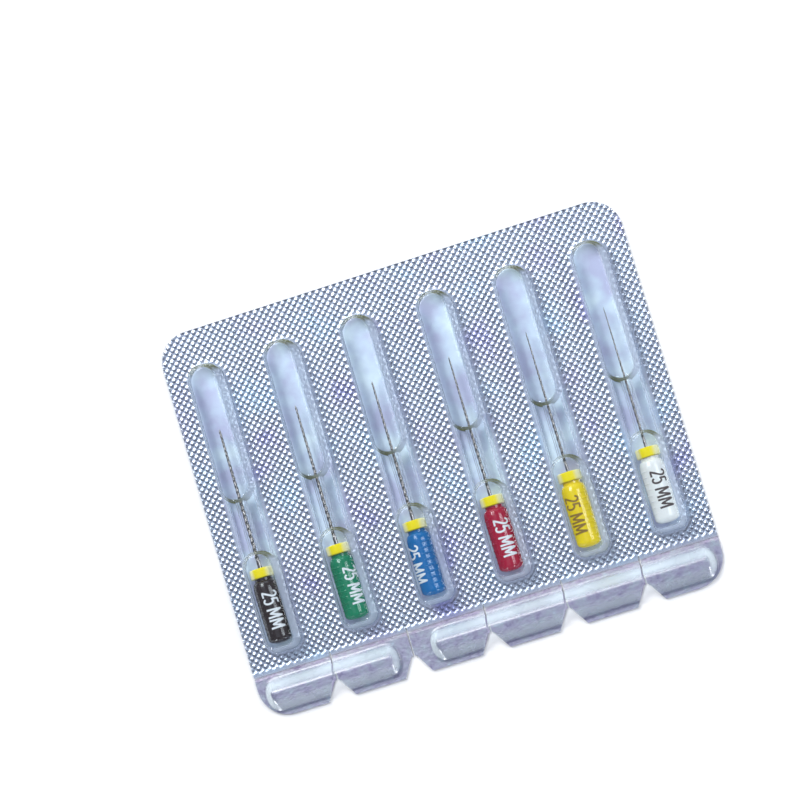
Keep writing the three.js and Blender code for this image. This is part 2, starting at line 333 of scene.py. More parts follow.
def rounded_rectangle(x0, x1, y0, y1, low_radius, high_radius, steps):
    low, high = low_radius, high_radius
    return (
        arc((x0 + low, y0 + low), low, 180, 270, steps)
        + arc((x1 - low, y0 + low), low, 270, 360, steps)
        + arc((x1 - high, y1 - high), high, 0, 90, steps)
        + arc((x0 + high, y1 - high), high, 90, 180, steps)
    )


def outline_distance(x, y, outline):
    """How far inside a closed outline each point lies, negative outside, and the nearest outline points."""
    ring = np.asarray(outline)
    starts, ends = ring, np.roll(ring, -1, axis=0)
    best = np.full(x.shape, 1e9)
    near_x, near_y = np.zeros_like(x), np.zeros_like(y)
    inside = np.zeros(x.shape, bool)
    for (ax, ay), (bx, by) in zip(starts, ends):
        dx, dy = bx - ax, by - ay
        length = dx * dx + dy * dy
        if length < 1e-12:
            continue
        share = np.clip(((x - ax) * dx + (y - ay) * dy) / length, 0.0, 1.0)
        px, py = ax + share * dx, ay + share * dy
        distance = (x - px) ** 2 + (y - py) ** 2
        closer = distance < best
        best = np.where(closer, distance, best)
        near_x, near_y = np.where(closer, px, near_x), np.where(closer, py, near_y)
        if abs(dy) > 1e-12:
            crosses = (ay > y) != (by > y)
            inside ^= crosses & (x < dx * (y - ay) / dy + ax)
    return np.where(inside, 1.0, -1.0) * np.sqrt(best), near_x, near_y


class SheetGrid:
    """A grid over the inside of an outline, whose rim vertices lie on the outline."""

    def __init__(self, outline, xs, ys):
        grid_x, grid_y = np.meshgrid(xs, ys)
        rows, columns = grid_x.shape
        corner = {}
        for dx, dy in ((0, 0), (0, 1), (1, 0), (1, 1)):
            corner[dy, dx] = (slice(dy, rows - 1 + dy), slice(dx, columns - 1 + dx))
        middle_x = 0.25 * sum(grid_x[view] for view in corner.values())
        middle_y = 0.25 * sum(grid_y[view] for view in corner.values())
        kept = outline_distance(middle_x, middle_y, outline)[0] > 0
        cells_round = np.zeros((rows, columns), int)
        for view in corner.values():
            cells_round[view] += kept
        used = cells_round > 0
        rim = used & (cells_round < 4)
        _, near_x, near_y = outline_distance(grid_x[rim], grid_y[rim], outline)
        grid_x[rim], grid_y[rim] = near_x, near_y
        number = np.full((rows, columns), -1)
        number[used] = np.arange(used.sum())
        self.x, self.y = grid_x[used], grid_y[used]
        turn = ((0, 0), (0, 1), (1, 1), (1, 0))
        self.faces = np.stack([number[corner[step]][kept] for step in turn], axis=1)
        self.rim = self._rim_edges()

    def _rim_edges(self):
        edges = np.concatenate([self.faces[:, [i, (i + 1) % 4]] for i in range(4)])
        key = np.sort(edges, axis=1)
        _, first, counts = np.unique(key, axis=0, return_index=True, return_counts=True)
        return edges[first[counts == 1]]

    def shell(self, top, bottom):
        """Points and faces of a closed sheet between two heights."""
        count = len(self.x)
        upper = np.column_stack([self.x, self.y, top])
        lower = np.column_stack([self.x, self.y, bottom])
        faces = self.faces.tolist()
        faces += (self.faces[:, ::-1] + count).tolist()
        faces += [[b, a, a + count, b + count] for a, b in self.rim.tolist()]
        return np.concatenate([upper, lower]), faces


def lofted_faces(rings, count):
    """Faces of a closed body through rings of count points each, lowest first."""
    faces = []
    for level in range(rings - 1):
        for k in range(count):
            a, b = level * count + k, level * count + (k + 1) % count
            faces.append([a, b, b + count, a + count])
    faces.append(list(range(count))[::-1])
    faces.append([(rings - 1) * count + k for k in range(count)])
    return faces


def ring_loft(rings):
    """Points and faces of a closed body through rings of (height, outline), lowest first."""
    points = [(x, y, height) for height, outline in rings for x, y in outline]
    return points, lofted_faces(len(rings), len(rings[0][1]))


def combine(base, operands, operation):
    """base joined with, or cut by, each operand in turn. The operands are removed."""
    for operand in operands:
        modifier = base.modifiers.new("combine", "BOOLEAN")
        modifier.operation = operation
        modifier.solver = "MANIFOLD"
        modifier.object = operand
    depsgraph = bpy.context.evaluated_depsgraph_get()
    result = bpy.data.meshes.new_from_object(base.evaluated_get(depsgraph))
    base.modifiers.clear()
    base.data = result
    for operand in operands:
        bpy.data.objects.remove(operand, do_unlink=True)
    if not result.polygons:
        raise RuntimeError(f"the {operation.lower()} on {base.name} left no faces")
    return base


def value_noise(x, y, seed):
    """A smooth seeded wave sum over a plane, about -1 to 1."""
    random = np.random.default_rng(seed)
    total = np.zeros_like(x)
    for _ in range(7):
        angle = random.uniform(0, 2 * math.pi)
        length = random.uniform(5.0, 16.0)
        phase = random.uniform(0, 2 * math.pi)
        total += np.sin((x * math.cos(angle) + y * math.sin(angle)) * 2 * math.pi / length + phase)
    return total / 4.0


# ---- finishes ----
# How each film mirrors and scatters: its index, its roughness, its milky colour, the slant from which it
# turns milky, and the share of the scattered light that passes through it.
TRAY_FILM = dict(ior=1.35, roughness=0.05, haze=(0.64, 0.72, 0.86), haze_from=0.32, through=0.4)
TAB_FILM = dict(ior=1.65, roughness=0.25, haze=(0.80, 0.90, 0.97), haze_from=0.12, through=0.0)
HAZE_SHARE, HAZE_RUN = 0.8, 0.5
# The most that film mirrors at a slant, and how much of the painted olive shade on a steep end wall shows.
MIRROR_LIMIT = 0.18
END_WALL_SHADE_SHARE = 0.85
# Drifts on the sealed foil, under the pockets, painted paler and bluer as painted reflection, and on the
# tabs, painted darker as painted shade.
DRIFT_VIOLET, DRIFT_LILAC, DRIFT_SKY = (0.45, 0.43, 0.74), (0.62, 0.61, 0.74), (0.64, 0.78, 0.92)
SLACK_REFLECTION_VIOLET, SLACK_REFLECTION_BLUE, SLACK_REFLECTION_PALE = (0.56, 0.57, 0.74), (0.66, 0.74, 0.86), (0.80, 0.90, 0.96)
TAB_VIOLET, TAB_LILAC, TAB_SKY = (0.30, 0.26, 0.42), (0.50, 0.46, 0.60), (0.66, 0.78, 0.90)


def seal_foil_material(colour):
    """Bright foil under the film: cool silver with lilac and sky-blue drifts, duller under the pockets,
    where it is also painted a paler sky-blue as a painted reflection.
    """
    m = Nodes("seal_foil")
    drift = m.noise(95.0, detail=2.0, roughness=0.45)
    sealed = m.ramp(
        drift, [(0.28, DRIFT_VIOLET), (0.38, DRIFT_LILAC), (0.46, colour), (0.56, colour), (0.72, DRIFT_SKY)]
    )
    # Painted reflection: under the pockets the foil is painted paler and bluer than the sealed foil.
    slack_reflection = m.ramp(m.noise(160.0), [(0.38, SLACK_REFLECTION_VIOLET), (0.52, SLACK_REFLECTION_BLUE), (0.64, SLACK_REFLECTION_PALE)])
    loose = m.attribute("loose")
    roughness = m.mix(loose, m.spread(m.noise(700.0), 0.20, 0.34), m.spread(m.noise(500.0), 0.46, 0.60))
    normal = m.bump(m.noise(2600.0, detail=4.0), 0.12, 0.0001)
    return m.principled(m.mix(loose, sealed, slack_reflection), roughness, normal, Metallic=1.0)


def satin_foil_material(colour):
    """The foil's outer side: even satin silver-blue with faint rolling streaks."""
    m = Nodes("satin_foil")
    streaks = m.noise(900.0, detail=4.0, stretch=(1.0, 0.08, 1.0))
    normal = m.bump(m.noise(500.0, detail=5.0), 0.15, 0.0002)
    colours = m.mix(streaks, shade(colour, 0.94), shade(colour, 1.06))
    return m.principled(colours, m.spread(m.noise(1200.0), 0.42, 0.54), normal, Metallic=0.85)


def back_finish(piece, finish, first, last):
    """Gives the faces from first up to last a second material."""
    piece.data.materials.append(finish)
    index = np.zeros(len(piece.data.polygons), np.int32)
    index[first:last] = 1
    piece.data.polygons.foreach_set("material_index", index)


def tab_foil_material(colour):
    """Foil of the tabs: dull lilac silver with soft handling marks, painted darker than the lid foil as
    painted shade under the bulges.
    """
    m = Nodes("tab_foil_finish")
    cloud = m.noise(620.0, detail=8.0, roughness=0.75)
    # Painted shade: the tab foil's colours are darker copies of the lid foil's.
    shaded_foil = shade(colour, 0.84)
    colours = m.ramp(cloud, [(0.32, TAB_VIOLET), (0.46, TAB_LILAC), (0.60, shaded_foil), (0.72, TAB_SKY)])
    normal = m.bump(m.noise(2400.0, detail=4.0), 0.3, 0.0002)
    return m.principled(colours, m.spread(m.noise(900.0), 0.38, 0.52), normal, Metallic=1.0)


def film_material(name, colours, ior, roughness, haze, haze_from, through):
    """Clear film: what is behind it shows, and a wall seen edge on turns milky and shines. Steep end walls
    seen edge on get a painted olive shade and reflection.
    """
    m = Nodes(name)
    facing = m.value(m.add("ShaderNodeLayerWeight"), Blend=0.5).outputs["Facing"]
    # Painted olive shade and reflection on the steep end walls, strongest where a wall is seen edge on.
    wall_shade = m.math("MULTIPLY", m.fade(facing, 0.30, 0.62), m.attribute("wall_tint"))
    wall_tint = tuple(colours.wall_tint)
    clear = m.shader("ShaderNodeBsdfTransparent", Color=m.mix(wall_shade, tuple(colours.film), wall_tint))
    cloud = m.mix(m.noise(500.0), shade(haze, 0.9), shade(haze, 1.08))
    milk_colour = m.mix(wall_shade, cloud, shade(wall_tint, 0.5))
    scatter = [m.shader(f"ShaderNodeBsdf{kind}", Color=milk_colour) for kind in ("Diffuse", "Translucent")]
    milk = m.blend(through, *scatter)
    upright = m.add("ShaderNodeSeparateXYZ")
    m.link(m.place("Normal"), upright.inputs["Vector"])
    # The flat flange and the pockets' flat tops stay clear at every slant.
    leaning = m.fade(m.math("ABSOLUTE", upright.outputs["Z"]), 0.86, 0.99, 1.0, 0.0)
    slanted = m.fade(facing, haze_from, haze_from + HAZE_RUN, 0.0, HAZE_SHARE)
    hazy = m.math("MULTIPLY", slanted, leaning)
    body = m.blend(m.math("MAXIMUM", hazy, m.math("MULTIPLY", wall_shade, END_WALL_SHADE_SHARE)), clear, milk)
    gloss = m.spread(m.noise(420.0), 0.8 * roughness, 1.4 * roughness)
    ripple = m.bump(m.noise(330.0, detail=2.0), 0.06, 0.0003)
    mirror = m.shader("ShaderNodeBsdfGlossy", Roughness=gloss, Normal=ripple)
    fresnel = m.value(m.add("ShaderNodeFresnel"), IOR=ior).outputs["Fac"]
    surface = m.blend(m.math("MINIMUM", fresnel, MIRROR_LIMIT), body, mirror)
    m.link(surface, m.output.inputs["Surface"])
    return m.material


def grip_material(name, colour):
    """Moulded glossy plastic with faint flow marks."""
    m = Nodes(name)
    flow = m.noise(520.0, detail=3.0, stretch=(1.0, 0.35, 1.0))
    return m.principled(
        m.mix(flow, shade(colour, 0.86), shade(colour, 1.1)),
        m.spread(m.noise(1500.0), 0.12, 0.22),
        m.bump(m.noise(1900.0, detail=4.0), 0.10, 0.0001),
        Specular_IOR_Level=0.35,
        Coat_Weight=0.4,
        Coat_Roughness=0.04,
        Subsurface_Weight=0.05,
        Subsurface_Scale=0.0004,
        Subsurface_Radius=(1.0, 0.8, 0.6),
    )


def stop_material(colour):
    """Soft translucent silicone, painted paler towards its sides across X: a painted sheen for the light
    through and off its curved rim.
    """
    m = Nodes("silicone")
    cloud = m.mix(m.noise(900.0, detail=2.0), shade(colour, 0.94), colour)
    return m.principled(
        # Painted sheen: the stop's colour turns pale towards its sides across X, read from the side
        # attribute.
        m.mix(m.fade(m.attribute("side"), 0.45, 0.75), cloud, (0.96, 0.88, 0.48)),
        m.spread(m.noise(1200.0), 0.30, 0.45),
        m.bump(m.noise(1500.0, detail=3.0), 0.10, 0.0001),
        Subsurface_Weight=0.25,
        Subsurface_Scale=0.0006,
        Subsurface_Radius=(1.0, 0.9, 0.35),
        IOR=1.41,
        Specular_IOR_Level=0.3,
    )


def steel_material():
    """Ground stainless steel, with fine grinding marks round the blade."""
    m = Nodes("ground_steel")
    marks = m.noise(3200.0, detail=3.0, stretch=(0.3, 3.0, 0.3))
    colours = m.mix(marks, (0.20, 0.18, 0.175), (0.46, 0.43, 0.41))
    return m.principled(colours, m.spread(marks, 0.18, 0.34), m.bump(marks, 0.15, 0.00005), Metallic=1.0)


def ink_material(name, colour):
    """Pad-printed ink with slightly uneven cover."""
    m = Nodes(name)
    cover = m.noise(2400.0, detail=4.0)
    return m.principled(m.mix(cover, shade(colour, 0.85), colour), m.spread(cover, 0.35, 0.55))


def label_material():
    """Satin white label film."""
    m = Nodes("label_film")
    fibre = m.noise(1800.0, detail=5.0)
    colours = m.mix(fibre, (0.84, 0.85, 0.86), (0.90, 0.91, 0.92))
    normal = m.bump(fibre, 0.05, 0.0001)
    return m.principled(colours, m.spread(fibre, 0.38, 0.50), normal, Coat_Weight=0.2, Coat_Roughness=0.3)


def floor_material():
    m = Nodes("floor_finish")
    cloud = m.noise(1.5, detail=2.0)
    return m.principled(m.mix(cloud, (0.90, 0.90, 0.90), (0.93, 0.93, 0.93)), m.spread(cloud, 0.65, 0.75))


# ---- foil ----
CELL_BAND = 0.42
GAP_HEIGHT = FOIL_TOP - 0.09
KNURL_STEPS = 6
UNDERSIDE_STEP = 0.4
# Extra columns beside an edge, where the scored lines fall.
SCORE_WIDTH, SCORE_DEPTH = 0.3, 0.03
SCORE_COLUMNS = (0.0, 0.12, SCORE_WIDTH)
DENT_OFFSET, DENT_HALF, DENT_LOW, DENT_HIGH, DENT_DEPTH = -2.0, 1.2, 12.5, 57.5, 0.08
# How far the foil rolls on each side, and the seeds of its rolling.
TOP_ROLL, UNDERSIDE_ROLL = 0.012, 0.006
LID_TOP_SEED, LID_UNDERSIDE_SEED, TAB_TOP_SEED, TAB_UNDERSIDE_SEED = 31, 57, 71, 83


def strip_edges(index):
    """The left and right edge of one cell's strip."""
    return PACK_LEFT + index * PITCH, PACK_LEFT + (index + 1) * PITCH


def far_corner_points(x0, x1, index, steps=8):
    """The far edge of a strip, from its right side to its left, with the pack's round corners."""
    right = left = None
    radius, far = CORNER_RADIUS, PACK_FAR
    if index == CELLS - 1:
        right = arc((x1 - radius, far - radius), radius, 0, 90, steps)
    if index == 0:
        left = arc((x0 + radius, far - radius), radius, 90, 180, steps)
    return (right or [(x1, far)]) + (left or [(x0, far)])


def strip_outline(index, low):
    """One cell's strip of the lid, from the crease to the far edge, with half of each slit beside it."""
    x0, x1 = strip_edges(index)
    left_slit = SLIT_WIDTH / 2 if index > 0 else 0.0
    right_slit = SLIT_WIDTH / 2 if index < CELLS - 1 else 0.0
    points = [(x0 + left_slit, along(low)), (x1 - right_slit, along(low))]
    if right_slit:
        points += [(x1 - right_slit, along(KNURL_EDGE)), (x1, along(KNURL_EDGE))]
    points += far_corner_points(x0, x1, index)
    if left_slit:
        points += [(x0, along(KNURL_EDGE)), (x0 + left_slit, along(KNURL_EDGE))]
    return points


def cell_outline(index, grow):
    """The outline of one cell's formed region, made larger all round."""
    x = cell_x(index)
    half = POCKET_HALF + grow
    low, high = along(HANDLE_POCKET["low"] - grow), along(TIP_POCKET["high"] + grow)
    return rounded_rectangle(x - half, x + half, low, high, HANDLE_POCKET["low_radius"] + grow, half, 8)


def knurl_wave(x, y, period):
    """Rounded points on a square lattice turned by 45 degrees, from 0 in the gaps to 1 on the points."""
    u, v = (x + y) / period, (x - y) / period
    return (np.cos(math.pi * u) * np.cos(math.pi * v)) ** 2


def foil_top(x, y, index, sizes):
    from_edge = y - PACK_NEAR
    inside, _, _ = outline_distance(x, y, cell_outline(index, CELL_BAND))
    knurled = smoothstep(-inside, 0.0, 0.25) * smoothstep(from_edge, KNURL_EDGE - 0.1, KNURL_EDGE + 0.25)
    wave = knurl_wave(x - PACK_LEFT, y - PACK_FAR, sizes.knurl_period / MM)
    plain = FOIL_TOP + TOP_ROLL * value_noise(x, y, LID_TOP_SEED)
    raised = GAP_HEIGHT + sizes.knurl_height / MM * wave
    return plain + (raised - plain) * knurled


def foil_underside(x, y, index):
    """The label side: nearly flat, with a soft dent along the cell and a scored line at each side."""
    from_edge = y - PACK_NEAR
    across = np.abs(x - cell_x(index) - DENT_OFFSET)
    dent = 1 - smoothstep(across, 0.4 * DENT_HALF, DENT_HALF)
    dent *= smoothstep(from_edge, DENT_LOW - 0.6, DENT_LOW + 1.2)
    dent *= 1 - smoothstep(from_edge, DENT_HIGH - 1.5, DENT_HIGH)
    x0, x1 = strip_edges(index)
    score = 1 - smoothstep(np.minimum(x - x0, x1 - x), 0.0, SCORE_WIDTH)
    roll = UNDERSIDE_ROLL * (1 + value_noise(x, y, LID_UNDERSIDE_SEED))
    return FOIL_BOTTOM + DENT_DEPTH * dent + SCORE_DEPTH * score + roll


def grid_lines(low, high, step):
    """Places from high down to low, a step apart, with the rest of a step at the low end."""
    count = int(math.floor((high - low) / step - 0.3))
    return np.array([low] + [high - k * step for k in range(count, -1, -1)])


class ENDO_OT_lid_foil(bpy.types.Operator):
    """Add the heat-sealed lidding foil, one strip to a cell, with its knurled seal"""

    bl_idname = "endo_pack.lid_foil"
    bl_label = "Lid Foil"

    def execute(self, context):
        sizes, colours = context.scene.endo_sizes, context.scene.endo_colours
        finish = seal_foil_material(tuple(colours.foil))
        satin = satin_foil_material(tuple(colours.satin))
        step = sizes.knurl_period / MM / KNURL_STEPS
        beside = np.array(SCORE_COLUMNS)
        for index in range(CELLS):
            outline = strip_outline(index, CREASE + FOLD_GAP)
            low, (x0, x1) = outline[0][1], strip_edges(index)
            columns = int(round((x1 - x0) / step))
            upper = SheetGrid(outline, np.linspace(x0, x1, columns + 1), grid_lines(low, PACK_FAR, step))
            middle = np.arange(x0 + UNDERSIDE_STEP, x1 - 0.9 * UNDERSIDE_STEP, UNDERSIDE_STEP)
            lower_xs = np.concatenate([x0 + beside, middle, x1 - beside[::-1]])
            lower = SheetGrid(outline, lower_xs, grid_lines(low, PACK_FAR, 2 * UNDERSIDE_STEP))
            points, faces = self.join(upper, foil_top(upper.x, upper.y, index, sizes), lower, index)
            name = f"lid_strip_{index + 1}"
            strip = make_object(name, points, faces, finish, "lid", "foil", ("lid_foil",))
            back_finish(strip, satin, len(upper.faces), len(faces))
            inside, _, _ = outline_distance(points[:, 0], points[:, 1], cell_outline(index, 0.0))
            # Under each pocket the foil is unsealed: rougher, and painted paler and bluer as painted
            # reflection.
            loose = smoothstep(inside, -0.1, 0.3) * (points[:, 2] > GAP_HEIGHT - 0.05)
            store(strip.data, "loose", "POINT", loose)
        return {"FINISHED"}

    @staticmethod
    def join(upper, top, lower, index):
        """The fine upper face, a wall with corners of its own down its rim and the plainer lower face."""
        rim = np.unique(upper.rim)
        start, count = len(upper.x), len(rim)
        rim_x, rim_y = upper.x[rim], upper.y[rim]
        layers = [
            (upper.x, upper.y, top),
            (rim_x, rim_y, top[rim]),
            (rim_x, rim_y, foil_underside(rim_x, rim_y, index)),
            (lower.x, lower.y, foil_underside(lower.x, lower.y, index)),
        ]
        points = np.concatenate([np.column_stack(layer) for layer in layers])
        place = {int(vertex): start + k for k, vertex in enumerate(rim)}
        faces = upper.faces.tolist()
        faces += [[place[b], place[a], place[a] + count, place[b] + count] for a, b in upper.rim.tolist()]
        faces += (lower.faces[:, ::-1] + start + 2 * count).tolist()
        return points, faces


# ---- tabs ----
BULGE_HEIGHT = 2.0
BULGE_LOW, BULGE_CREST, BULGE_FALL, BULGE_HIGH = 0.7, 3.9, 3.9, 6.5
BULGE_MARGIN = 1.0
BULGE_BREAK = PACK_LEFT + 2 * PITCH
BULGES = (
    (PACK_LEFT + BULGE_MARGIN, BULGE_BREAK - 2.0),
    (BULGE_BREAK + 3.0, PACK_RIGHT - BULGE_MARGIN),
)
BULGE_END = 1.5
BULGE_THINNING = 0.985
TAB_STEP = 0.19


def tab_side(index, side, upper):
    """One side of a tab, from the tab edge up to the fold."""
    edge = cell_x(index) + side * PITCH / 2
    if (side < 0 and index == 0) or (side > 0 and index == CELLS - 1):
        turns = [math.radians(90 - 90 * k / 8) for k in range(9)]
        insets = [(CORNER_RADIUS * (1 - math.cos(a)), CORNER_RADIUS * (1 - math.sin(a))) for a in turns]
    else:
        insets = [(NOTCH_MOUTH / 2, 0), (NOTCH_APEX / 2, NOTCH_DEPTH), (SLIT_WIDTH / 2, NOTCH_DEPTH)]
    insets.append((insets[-1][0], upper))
    return [(edge - side * inset, along(from_edge)) for inset, from_edge in insets]


def tab_outline(index, upper):
    return tab_side(index, 1, upper) + tab_side(index, -1, upper)[::-1]


def bulge_rise(x, y):
    """Height of the hollow bulges above the film's flange."""
    from_edge = y - PACK_NEAR
    share = np.clip((from_edge - BULGE_LOW) / (BULGE_CREST - BULGE_LOW), 0, 1)
    rise = np.sin(0.5 * math.pi * share) ** 1.25
    fall = 1 - smoothstep(from_edge, BULGE_FALL, BULGE_HIGH)
    middle, half = 0.5 * (BULGE_LOW + BULGE_HIGH), 0.5 * (BULGE_HIGH - BULGE_LOW)
    away = np.clip(np.abs(from_edge - middle) / half, 0, 1)
    round_end = BULGE_END * (1 - np.sqrt(1 - away**2))
    ends = np.zeros_like(x)
    for left, right in BULGES:
        to_end = np.minimum(x - left, right - x) - round_end
        ends = np.maximum(ends, smoothstep(to_end, 0.0, BULGE_END))
    return BULGE_HEIGHT * rise * fall * ends


class ENDO_OT_tabs(bpy.types.Operator):
    """Add the tear-off tabs, each a piece of film with its bulge over a piece of foil"""

    bl_idname = "endo_pack.tabs"
    bl_label = "Tear-off Tabs"

    def execute(self, context):
        colours = context.scene.endo_colours
        film = film_material("tab_film", colours, **TAB_FILM)
        foil, satin = tab_foil_material(tuple(colours.foil)), satin_foil_material(tuple(colours.satin))
        for index in range(CELLS):
            body, number = f"tab_{index + 1}", index + 1
            grid = self.grid(index, SHELL_EDGE)
            rise = bulge_rise(grid.x, grid.y)
            points, faces = grid.shell(FLANGE_TOP + rise, FLANGE_BOTTOM + rise * BULGE_THINNING)
            over = (f"tab_shell_{number}",)
            soften(make_object(f"tab_film_{number}", points, faces, film, body, "clear", over), 50)
            grid = self.grid(index, CREASE - FOLD_GAP)
            top = FOIL_TOP + TOP_ROLL * value_noise(grid.x, grid.y, TAB_TOP_SEED)
            bottom = FOIL_BOTTOM + UNDERSIDE_ROLL * (1 + value_noise(grid.x, grid.y, TAB_UNDERSIDE_SEED))
            points, faces = grid.shell(top, bottom)
            over = (f"tab_foil_{number}",)
            leaf = make_object(f"tab_leaf_{number}", points, faces, foil, body, "foil", over)
            back_finish(leaf, satin, len(grid.faces), 2 * len(grid.faces))
            soften(leaf, 50)
        return {"FINISHED"}

    @staticmethod
    def grid(index, upper):
        x0, x1 = strip_edges(index)
        xs = np.linspace(x0, x1, int(round((x1 - x0) / TAB_STEP)) + 1)
        return SheetGrid(tab_outline(index, upper), xs, grid_lines(along(0), along(upper), TAB_STEP))


# ---- formed tray ----
WALL = 0.24
FILLET = 0.3
DRAFT = 0.3
SHOULDER = 0.7
SHOULDER_RUN = 0.6
OUTLINE_STEPS = 14
# How far up and out the steps of a neck's flared foot lie.
NECK_FOOT = ((0.0, 0.3), (0.04, 0.16), (0.16, 0.04), (0.3, 0.0))
# Height and inset of the ridge's wall, from inside the neck up to its round top.
RIDGE_STEPS = (
    (1.3, -0.22), (1.6, -0.22), (1.63, -0.1), (1.75, -0.02), (1.95, 0.02),
    (2.95, 0.08), (3.2, 0.16), (3.34, 0.3), (3.4, 0.5),
)


def quarter(steps):
    """Sine and cosine of equal steps through a quarter turn."""
    return [(math.sin(a), math.cos(a)) for a in np.radians(np.linspace(0, 90, steps))]


def wall_steps(base, top, inset, fillet):
    """(height, inset) steps of a formed wall: round foot, drafted side, round shoulder."""
    foot = [(base + fillet * (1 - c), inset - fillet * (1 - s)) for s, c in quarter(6)]
    shoulder = [(top - SHOULDER * (1 - s), inset + DRAFT + SHOULDER_RUN * (1 - c)) for s, c in quarter(8)]
    return foot + shoulder


def neck_steps(base, top, inset):
    """(height, inset) steps of a neck's wall: flared foot, slight draft, round edge."""
    foot = [(base + up, inset - out) for up, out in NECK_FOOT]
    edge, draft = 0.3, 0.08
    return foot + [(top - edge * (1 - s), inset + draft + edge * (1 - c)) for s, c in quarter(5)]


def pocket_rings(index, pocket, steps):
    x, rings = cell_x(index), []
    for height, inset in steps:
        half = POCKET_HALF - inset
        radii = [min(max(pocket[end] - inset, 0.3), half - 0.01) for end in ("low_radius", "high_radius")]
        low, high = along(pocket["low"] + inset), along(pocket["high"] - inset)
        rings.append((height, rounded_rectangle(x - half, x + half, low, high, *radii, OUTLINE_STEPS)))
    return rings


def trough_rings(index, half, steps):
    """A straight channel between the pockets, its ends inside them."""
    x, low, high = cell_x(index), along(NECK_LOW), along(NECK_HIGH)
    rings = []
    for height, inset in steps:
        reach = half - inset
        rings.append((height, [(x - reach, low), (x + reach, low), (x + reach, high), (x - reach, high)]))
    return rings


def formed_bodies(index, inner):
    """The solids inside (inner) or outside the formed film of one cell."""
    drop = WALL if inner else 0.0
    base = FLANGE_BOTTOM if inner else FLANGE_TOP
    start = FLANGE_BOTTOM - 0.1 if inner else FLANGE_BOTTOM + 0.05
    fillet = FILLET + 0.12 if inner else FILLET
    bodies = []
    for pocket in (HANDLE_POCKET, TIP_POCKET):
        steps = wall_steps(base, TRAY_TOP - drop, drop, fillet)
        bodies.append(pocket_rings(index, pocket, [(start, steps[0][1])] + steps))
    steps = neck_steps(base, NECK_TOP - drop, drop)
    bodies.append(trough_rings(index, NECK_HALF, [(start, steps[0][1])] + steps))
    ridge = [(height - drop, min(inset + drop, RIDGE_HALF - 0.05)) for height, inset in RIDGE_STEPS]
    bodies.append(trough_rings(index, RIDGE_HALF, ridge))
    return [ring_loft(rings) for rings in bodies]


def tray_outline(low):
    """The tray's flange outline, with its round far corners and short slits."""
    points = [(PACK_LEFT, along(low))]
    for index in range(1, CELLS):
        x, half = PACK_LEFT + index * PITCH, SLIT_WIDTH / 2
        points += [(x - half, along(low)), (x - half, along(KNURL_EDGE))]
        points += [(x + half, along(KNURL_EDGE)), (x + half, along(low))]
    points.append((PACK_RIGHT, along(low)))
    radius, far = CORNER_RADIUS, PACK_FAR
    points += arc((PACK_RIGHT - radius, far - radius), radius, 0, 90, 16)
    points += arc((PACK_LEFT + radius, far - radius), radius, 90, 180, 16)
    return points


# Each end wall's place that gets the film's painted olive shade, and the side of its cell towards which that
# painted shade grows.
SHADED_END_WALLS = ((HANDLE_POCKET["high"], 1.0), (TIP_POCKET["low"], -1.0), (TIP_POCKET["high"], 0.4))


def end_wall_tint(places, normals):
    """Where the film's painted olive shade goes: 1 on the steep parts of the pockets' far end walls and the
    tip pockets' near ones, 0 elsewhere.
    """
    from_edge = places[:, 1] - PACK_NEAR
    across = places[:, 0] - PACK_LEFT
    beside = across - (np.floor(across / PITCH) + 0.5) * PITCH
    steep = 1 - smoothstep(np.abs(normals[:, 2]), 0.72, 0.92)
    lengthwise = smoothstep(np.abs(normals[:, 1]), 0.30, 0.72)
    wall_shade = np.zeros_like(from_edge)
    for place, side in SHADED_END_WALLS:
        near = 1 - smoothstep(np.abs(from_edge - place), 1.6, 2.6)
        leaning = smoothstep(side * beside, -2.2, 0.6)
        wall_shade = np.maximum(wall_shade, near * steep * lengthwise * leaning)
    return wall_shade


class ENDO_OT_tray(bpy.types.Operator):
    """Add the clear thermoformed tray with its pockets, necks and ridges"""

    bl_idname = "endo_pack.tray"
    bl_label = "Formed Tray"

    def execute(self, context):
        outline = tray_outline(TRAY_EDGE)
        tray = mesh_object("film_tray", *ring_loft([(FLANGE_BOTTOM, outline), (FLANGE_TOP, outline)]))
        for inner, operation in ((False, "UNION"), (True, "DIFFERENCE")):
            bodies = [body for index in range(CELLS) for body in formed_bodies(index, inner)]
            combine(tray, [mesh_object("operand", *body) for body in bodies], operation)
        soften(tray, 38)
        self.paint(tray.data)
        tray.data.materials.clear()
        tray.data.materials.append(film_material("tray_film", context.scene.endo_colours, **TRAY_FILM))
        finish_piece(tray, "tray", "clear", ("blister_tray",))
        return {"FINISHED"}

    @staticmethod
    def paint(mesh):
        """Stores which faces belong to the end walls, for the film's painted olive shade."""
        places, normals = np.empty(len(mesh.polygons) * 3), np.empty(len(mesh.polygons) * 3)
        mesh.polygons.foreach_get("center", places)
        mesh.polygons.foreach_get("normal", normals)
        wall_shade = end_wall_tint(places.reshape(-1, 3) / MM, normals.reshape(-1, 3))
        store(mesh, "wall_tint", "FACE", wall_shade)


# ---- files ----
HANDLE_LENGTH = 10.7
GRIP_SEGMENTS, GRIP_ROWS = 80, 118
TAIL_ROUND = 0.95
TAIL_RADIUS, GRIP_RADIUS, NECK_RADIUS = 1.98, 2.03, 1.42
SHOULDER_LOW, SHOULDER_HIGH = 8.7, 10.25
RIB_FIRST, RIB_PITCH, RIB_COUNT, RIB_HEIGHT, RIB_WIDTH = 1.75, 0.98, 8, 0.07, 0.16
SCALLOPS, SCALLOP_DEPTH = 14, 0.02
LEGEND_ZONE = 44.0
BLADE_SEGMENTS, BLADE_ROW = 22, 0.06
WORKING_LENGTH, FLUTED_LENGTH = 25.0, 22.6
TAPER_LENGTH, TAPER_GROWTH = 16.0, 0.32
TIP_LENGTH = 0.5
FLUTE_DEPTH = 0.36
TOOTH_RISE = 0.78
